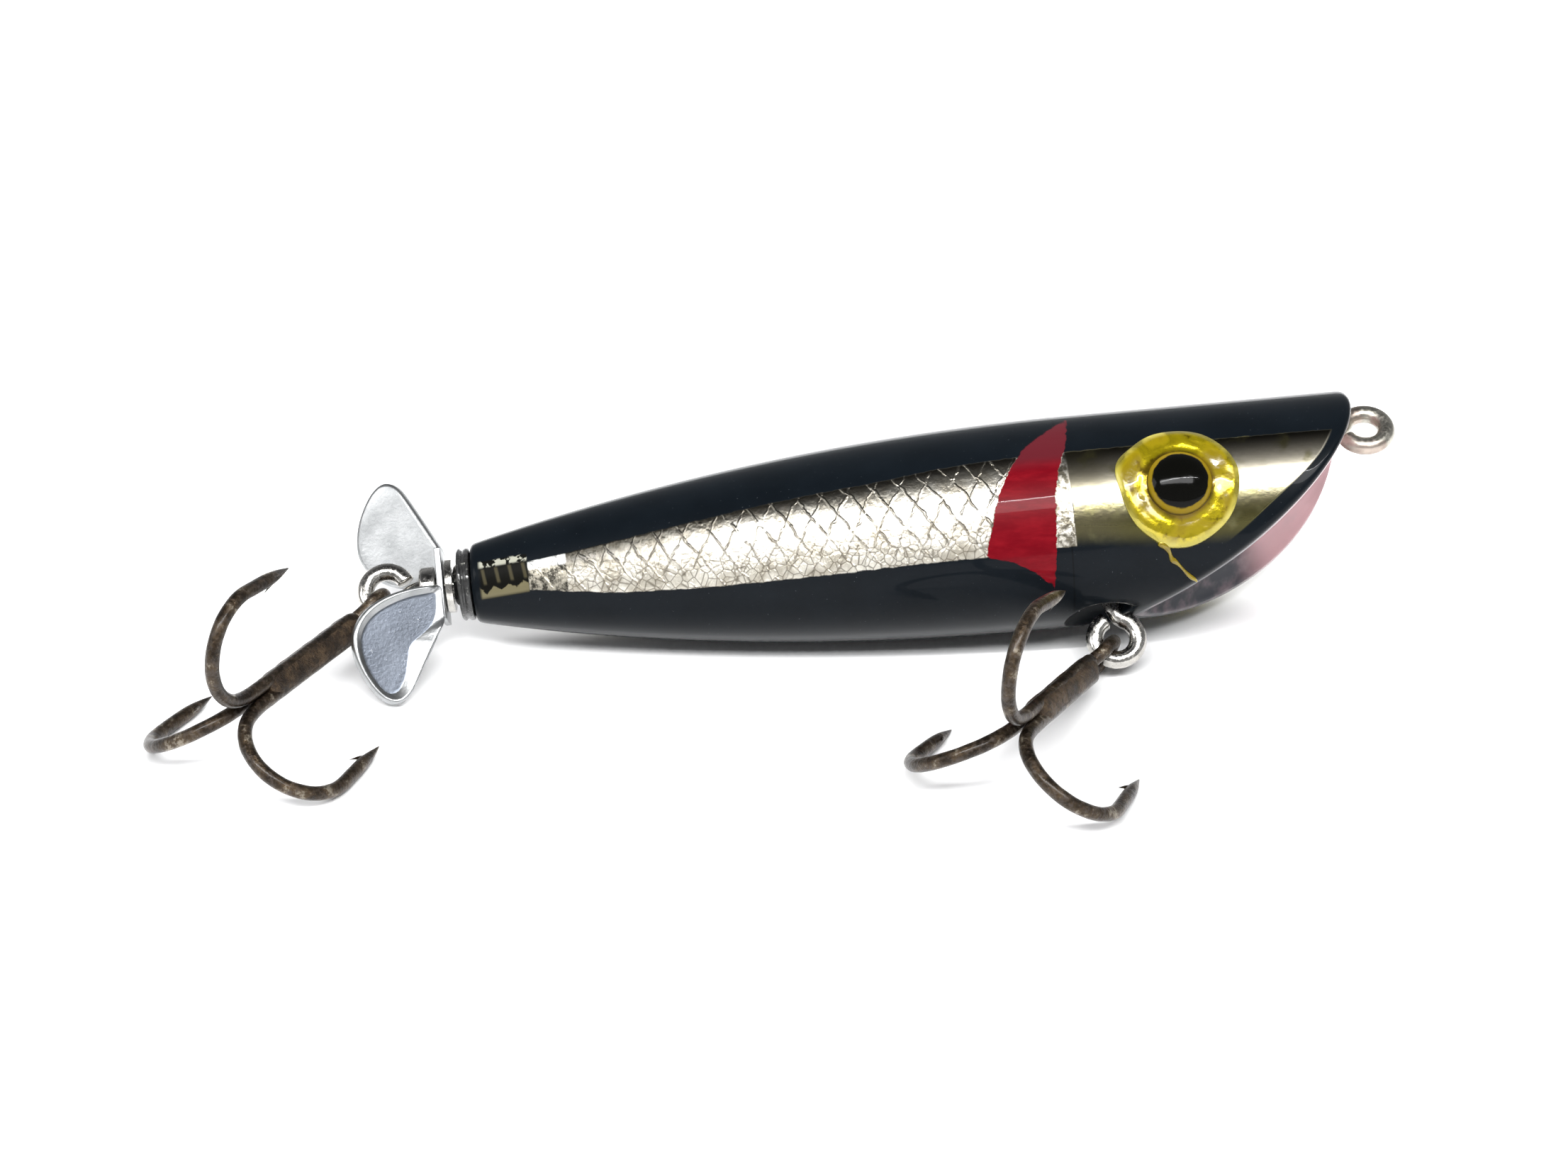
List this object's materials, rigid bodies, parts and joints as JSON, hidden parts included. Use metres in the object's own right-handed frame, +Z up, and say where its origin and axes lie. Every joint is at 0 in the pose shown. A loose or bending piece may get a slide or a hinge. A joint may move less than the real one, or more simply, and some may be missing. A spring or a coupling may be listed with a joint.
{
  "type": "topwater popper lure",
  "caption": "Hollow plastic topwater popper lure with a cupped slanted mouth, foil sides, screw-eye hangers, swinging treble hooks and a free-spinning two-blade tail propeller.",
  "frame": {"origin": "centre of the bounding box in plan, at the table the lure lies on", "axes": "+X from tail to nose along the table, +Z up from the table; the lure lies on its left side, belly and hooks towards -Y"},
  "size_m": [0.1067, 0.0436, 0.0204],
  "materials": {
    "clear_shell": "clear hard plastic, glossy; back and belly painted black",
    "scale_foil": "reflective foil embossed with fish scales",
    "head_foil": "plain greenish gold foil",
    "bulkhead": "grey moulded plastic",
    "eye_yellow": "yellow resin under clear coat",
    "pupil_black": "black dome, glossy",
    "ballast_metal": "plain metal",
    "nickel_wire": "nickel plated, lightly worn",
    "black_plastic": "black moulded plastic",
    "nickel_washer": "nickel plated",
    "nickel_bushing": "nickel plated",
    "prop_aluminium": "polished thin sheet",
    "bronzed_hook": "bronzed high-carbon wire, rust specks",
    "braze_bronze": "dull brazed joint"
  },
  "bodies": {
    "lure_body": {"body_shell_right": "clear_shell", "body_shell_left": "clear_shell", "foil_right": "scale_foil", "foil_left": "scale_foil", "head_foil_right": "head_foil", "head_foil_left": "head_foil", "bulkhead": "bulkhead", "eye_right": "eye_yellow", "eye_left": "eye_yellow", "pupil_right": "pupil_black", "pupil_left": "pupil_black", "ballast_slug": "ballast_metal", "nose_screw_eye": "nickel_wire", "belly_screw_eye": "nickel_wire", "tail_screw_eye": "nickel_wire", "tail_collar": "black_plastic", "front_washer": "nickel_washer", "rear_bushing": "nickel_bushing"},
    "propeller": {"propeller": "prop_aluminium"},
    "belly_hook": {"belly_hook_pair": "bronzed_hook", "belly_hook_single": "bronzed_hook", "belly_hook_braze": "braze_bronze"},
    "tail_hook": {"tail_hook_pair": "bronzed_hook", "tail_hook_single": "bronzed_hook", "tail_hook_braze": "braze_bronze"}
  },
  "joints": [
    {"name": "prop_spin", "type": "hinge", "parent": "lure_body", "child": "propeller", "pos_m": [-0.02892, 0.01142, 0.00563], "axis": [0.9969, 0, 0.0785], "continuous": true},
    {"name": "belly_hook_swing", "type": "hinge", "parent": "lure_body", "child": "belly_hook", "pos_m": [0.02796, 0.00313, 0.00301], "axis": [0.0597, 0.6494, -0.7581], "range_deg": [-70, 15]},
    {"name": "tail_hook_swing", "type": "hinge", "parent": "lure_body", "child": "tail_hook", "pos_m": [-0.03371, 0.01142, 0.00526], "axis": [0.0597, 0.6494, -0.7581], "range_deg": [0, 80]}
  ]
}
